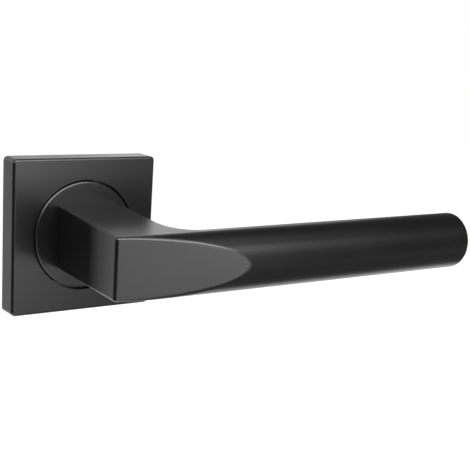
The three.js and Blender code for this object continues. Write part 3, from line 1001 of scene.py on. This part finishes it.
class HANDLE_OT_spindle(bpy.types.Operator):
    """Model the square spindle, its long edges drawn slightly round, its ends chamfered"""

    bl_idname = "handle.spindle"
    bl_label = "Spindle"

    def execute(self, context):
        size = sizes()
        spindle = block("spindle_bar", *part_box("spindle"))
        bevel_edges(spindle, lambda edge: not along_y(edge), size.spindle_end, segments=1)
        bevel_edges(spindle, along_y, size.spindle_edge, segments=4)
        bevel_edges(spindle, sharp, size.sawn_edge, segments=2)
        shade(spindle)
        install(spindle, "lever", "spindle", zinc_plate)
        return {"FINISHED"}


class HANDLE_OT_grub_screw(bpy.types.Operator):
    """Make the grub screw under the neck: threaded, with a hexagon socket"""

    bl_idname = "handle.grub_screw"
    bl_label = "Grub screw"

    def execute(self, context):
        size = sizes()
        bottom, top = low("grub_screw").z, high("grub_screw").z
        length = top - bottom
        screw = threaded_rod("grub_screw_steel", outer=radius_of("grub_screw"),
                             depth=0.3 * MM, pitch=size.metal_thread, start=0, end=length,
                             sides=32)
        socket = bar("socket", radius=1.44 * MM, start=-MM, end=2.2 * MM, sides=6)
        past = 0.01 * MM  # the cutter stands out of the screw's end by this much
        cup = countersunk("cup", radius=1.2 * MM, shank=0.2 * MM, face=length + past,
                          into=-1, across=(0, 0))
        cut(screw, socket, cup)
        screw.data.transform(Matrix.Translation((0, middle("grub_screw").y, bottom))
                             @ Matrix.Rotation(math.pi / 2, 4, "X"))
        shade(screw)
        install(screw, "lever", "grub_screw", black_oxide)
        return {"FINISHED"}


# ------------------------ stage

FLOOR_SIDE = 6
SENSOR_WIDTH = 36               # mm
NEAREST = 0.01                  # the camera sees nothing closer than this

# Soft lamps: name, place, width and height, brightness where 1 is the backdrop's white
SOFTBOXES = (
    ("overhead", (0.07, 0.00, 0.62), (0.92, 0.40), 0.9),
    ("strip", (-0.10, -0.62, 0.55), (1.26, 0.46), 6.8),
    ("front", (0.27, -1.00, 0.03), (0.47, 0.60), 2.3),
    ("behind", (0.90, 1.12, 0.42), (0.50, 0.40), 0.8),
)
LAMP_TARGET = (0.02, -0.04, 0)  # the lamps are aimed near the elbow

# Flags and a grey card that darken reflections: name, place, the way it faces, size, tone
FLAGS = (
    ("flag_right", (0.56, -0.58, -0.10), (-0.74, 0.67, 0), (0.52, 0.50), "#141414"),
    ("flag_left_back", (-0.365, 0.25, -0.12), (0.77, -0.64, 0), (0.42, 0.34), "#141414"),
    ("flag_left_front", (-0.278, -0.2755, -0.12), (0.855, 0.52, 0), (0.855, 0.34),
     "#141414"),
    ("card_below", (0.375, -0.34, -0.20), (0, 0, 1), (0.65, 0.72), "#5e5e5e"),
)

# The room that the handle reflects. A level changes where the share of a direction that
# points up, back or to the back left passes from the first bound to the second.
CEILING = {"From Min": 0.36, "From Max": 0.54, "To Min": 1.0, "To Max": 0.3}
BACK_WALL = {"From Min": 0.0, "From Max": 0.5, "To Min": 0.2, "To Max": 1.0}
BACK_LEFT = (-0.8, 0.6, 0)
LEFT_WALL = {"From Min": -0.03, "From Max": 0.06, "To Min": 0.1, "To Max": 1.0}


def is_ray(tree, *kinds):
    """1 for the rays of the given kinds, and 0 for all others."""
    path = add_node(tree, "ShaderNodeLightPath")
    found = path.outputs[kinds[0]]
    for kind in kinds[1:]:
        found = add_node(tree, "ShaderNodeMath", {0: found, 1: path.outputs[kind]},
                         operation="MAXIMUM").outputs[0]
    return found


def pale_floor():
    """Pale studio paper: matt, seen as white where nothing shades it."""
    material, tree = finish_tree("pale_studio_paper")
    if tree:
        paper = add_node(tree, "ShaderNodeBsdfDiffuse", {"Color": linear("#c4c4c2")})
        glow = add_node(tree, "ShaderNodeEmission", {
            "Color": linear("#ffffff"), "Strength": 0.75})
        lit = add_node(tree, "ShaderNodeAddShader", {0: paper.outputs[0], 1: glow.outputs[0]})
        seen = is_ray(tree, "Is Camera Ray", "Is Glossy Ray", "Is Transmission Ray")
        shown = add_node(tree, "ShaderNodeMixShader", {
            0: seen, 1: paper.outputs[0], 2: lit.outputs[0]})
        add_node(tree, "ShaderNodeOutputMaterial", {"Surface": shown.outputs[0]})
    return material


def pale_world(scene):
    """White behind the handle, and an even soft light all round."""
    world = bpy.data.worlds.new("studio_world")
    scene.world = world
    world.use_nodes = True
    tree = world.node_tree
    tree.nodes.clear()
    around = add_node(tree, "ShaderNodeTexCoord").outputs["Generated"]
    way = add_node(tree, "ShaderNodeSeparateXYZ", {"Vector": around})
    leftness = add_node(tree, "ShaderNodeVectorMath", {0: around, 1: BACK_LEFT},
                        operation="DOT_PRODUCT").outputs["Value"]
    ceiling, back, left = (
        add_node(tree, "ShaderNodeMapRange", {"Value": share, **levels}).outputs["Result"]
        for share, levels in ((way.outputs["Z"], CEILING), (way.outputs["Y"], BACK_WALL),
                              (leftness, LEFT_WALL)))
    backdrop = ceiling
    for wall in (back, left):
        backdrop = add_node(tree, "ShaderNodeMath", {0: backdrop, 1: wall},
                            operation="MULTIPLY").outputs[0]
    strength = add_node(tree, "ShaderNodeMix", {
        "Factor": is_ray(tree, "Is Glossy Ray", "Is Transmission Ray"),
        "A": back, "B": backdrop})
    shown = add_node(tree, "ShaderNodeMix", {
        "Factor": is_ray(tree, "Is Camera Ray"), "A": strength.outputs["Result"], "B": 1.0})
    light = add_node(tree, "ShaderNodeBackground", {
        "Color": linear("#ffffff"), "Strength": shown.outputs["Result"]})
    add_node(tree, "ShaderNodeOutputWorld", {"Surface": light.outputs[0]})


def softbox(name, place, extent, brightness):
    """A rectangular soft lamp of a given brightness, aimed at the handle."""
    width, height = extent
    lamp = bpy.data.lights.new(name, "AREA")
    lamp.shape = "RECTANGLE"
    lamp.size, lamp.size_y = width, height
    lamp.energy = brightness * math.pi * width * height
    light = bpy.data.objects.new(name, lamp)
    light.location = place
    aim = Vector(LAMP_TARGET) - Vector(place)
    light.rotation_euler = aim.to_track_quat("-Z", "Y").to_euler()
    light.visible_camera = False
    bpy.context.scene.collection.objects.link(light)


def flag(name, place, facing, extent, tone):
    """A dark flag or card that keeps light off, seen only in reflections."""
    deselect()
    aim = Vector(facing).to_track_quat("Z", "Y")
    bpy.ops.mesh.primitive_plane_add(size=1, location=place, rotation=aim.to_euler())
    bpy.context.object.scale = (*extent, 1)
    panel = placed(name)
    material, tree = finish_tree(name)
    if tree:
        cloth = add_node(tree, "ShaderNodeBsdfDiffuse", {"Color": linear(tone)})
        add_node(tree, "ShaderNodeOutputMaterial", {"Surface": cloth.outputs[0]})
    panel.data.materials.append(material)
    panel.visible_camera = False
    panel.visible_diffuse = False
    panel.visible_shadow = False


class HANDLE_OT_studio(bpy.types.Operator):
    """Set up the camera, the pale floor and the soft light"""

    bl_idname = "handle.studio"
    bl_label = "Studio"

    def execute(self, context):
        scene = context.scene
        studio = scene.handle_studio
        scene.view_settings.view_transform = "Standard"
        place = Vector(studio.camera_place)
        lens = bpy.data.cameras.new("camera")
        camera = bpy.data.objects.new("camera", lens)
        scene.collection.objects.link(camera)
        aim = (Vector(studio.camera_target) - place).to_track_quat("-Z", "Y")
        camera.matrix_world = (Matrix.Translation(place) @ aim.to_matrix().to_4x4()
                               @ Matrix.Rotation(studio.camera_roll, 4, "Z"))
        lens.sensor_width = SENSOR_WIDTH
        lens.lens = studio.camera_lens
        lens.shift_y = studio.camera_rise
        lens.clip_start = NEAREST
        scene.camera = camera
        deselect()
        bpy.ops.mesh.primitive_plane_add(size=FLOOR_SIDE, location=(0, 0, -studio.floor_drop))
        floor = placed("studio_floor")
        floor.data.materials.append(pale_floor())
        pale_world(scene)
        for lamp in SOFTBOXES:
            softbox(*lamp)
        for card in FLAGS:
            flag(*card)
        return {"FINISHED"}


# ------------------------ panel and registration

OPERATORS = (
    HANDLE_OT_lever, HANDLE_OT_rose_cover, HANDLE_OT_neck_disc, HANDLE_OT_mounting_plate,
    HANDLE_OT_nylon_bearings, HANDLE_OT_cassette, HANDLE_OT_return_springs,
    HANDLE_OT_lid_screws, HANDLE_OT_wood_screws, HANDLE_OT_cover_clips, HANDLE_OT_circlip,
    HANDLE_OT_spindle, HANDLE_OT_grub_screw, HANDLE_OT_studio,
)


class HANDLE_PT_panel(bpy.types.Panel):
    """Lists the steps that build the handle"""

    bl_idname = "HANDLE_PT_panel"
    bl_label = "Lever handle"
    bl_space_type = "VIEW_3D"
    bl_region_type = "UI"
    bl_category = "Handle"

    def draw(self, context):
        column = self.layout.column()
        for operator in OPERATORS:
            column.operator(operator.bl_idname)
        for group in (context.scene.handle_sizes, context.scene.handle_finishes,
                      context.scene.handle_studio):
            for name in group.__annotations__:
                column.prop(group, name)


CLASSES = (HandleSizes, HandleFinishes, HandleStudio, *OPERATORS, HANDLE_PT_panel)


def register():
    for each in CLASSES:
        bpy.utils.register_class(each)
    bpy.types.Scene.handle_sizes = PointerProperty(type=HandleSizes)
    bpy.types.Scene.handle_finishes = PointerProperty(type=HandleFinishes)
    bpy.types.Scene.handle_studio = PointerProperty(type=HandleStudio)


def unregister():
    del bpy.types.Scene.handle_studio
    del bpy.types.Scene.handle_finishes
    del bpy.types.Scene.handle_sizes
    for each in reversed(CLASSES):
        bpy.utils.unregister_class(each)


def main():
    register()
    for operator in OPERATORS:
        group, name = operator.bl_idname.split(".")
        getattr(getattr(bpy.ops, group), name)()


if __name__ == "__main__":
    main()
